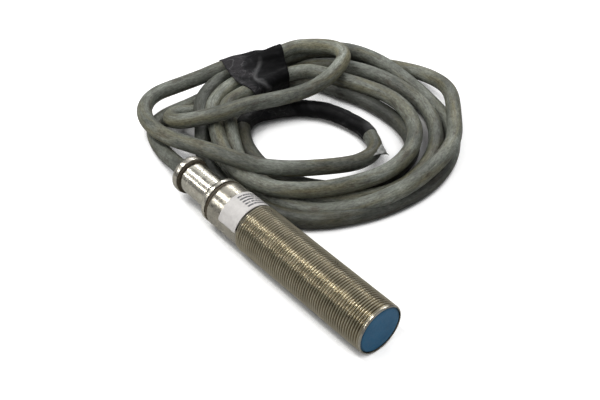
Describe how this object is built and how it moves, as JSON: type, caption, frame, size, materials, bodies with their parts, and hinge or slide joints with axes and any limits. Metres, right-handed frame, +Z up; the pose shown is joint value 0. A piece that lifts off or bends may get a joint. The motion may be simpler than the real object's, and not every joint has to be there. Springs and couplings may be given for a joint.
{
  "type": "inductive proximity sensor",
  "caption": "Cylindrical inductive proximity sensor: fine-threaded metal barrel, blue sensing face, stepped rear gland and a coiled, taped PVC lead.",
  "frame": {"origin": "on the surface the sensor lies on, under the middle of its length", "axes": "+X along the barrel towards the sensing face, +Z up from the surface"},
  "size_m": [0.1527, 0.1312, 0.018],
  "materials": {
    "nickel_thread": "nickel plated, fine thread, satin",
    "polished_nickel": "polished nickel plate with fine turning marks",
    "blue_cap": "moulded, fine matt",
    "label_foil": "satin white label",
    "seal_rubber": "dark, grimy",
    "ferrite": "sintered, matt",
    "bobbin_plastic": "moulded",
    "copper_wire": "enamelled copper",
    "board": "solder mask on glass fibre",
    "chip_epoxy": "moulded epoxy",
    "chip_ceramic": "fired ceramic",
    "potting_resin": "cast resin",
    "cable_pvc": "grey-green PVC, soiled, soft sheen",
    "black_tape": "creased vinyl tape",
    "core_brown": "insulation",
    "core_blue": "insulation",
    "core_black": "insulation"
  },
  "bodies": {
    "root": {"threaded_sleeve": "nickel_thread", "sensing_cap": "blue_cap", "type_label": "label_foil", "rear_bushing": "polished_nickel", "end_collar": "polished_nickel", "sleeve_seal_ring": "seal_rubber", "collar_seal_ring": "seal_rubber", "cable_grommet": "seal_rubber", "ferrite_core": "ferrite", "coil_bobbin": "bobbin_plastic", "sensing_coil": "copper_wire", "coil_lead_start": "copper_wire", "coil_lead_end": "copper_wire", "circuit_board": "board", "oscillator_ic": "chip_epoxy", "output_transistor": "chip_epoxy", "resonance_capacitor": "chip_ceramic", "tuning_resistor": "chip_epoxy", "feedback_resistor": "chip_epoxy", "buffer_capacitor": "chip_ceramic", "polarity_diode": "chip_epoxy", "clamp_diode": "chip_epoxy", "potting_compound": "potting_resin", "conductor_brown": "core_brown", "conductor_blue": "core_blue", "conductor_black": "core_black", "cable_lead": "cable_pvc", "cable_inner_strand": "cable_pvc", "cable_coil": "cable_pvc", "bundle_tape": "black_tape", "loop_tape": "black_tape"}
  },
  "joints": []
}
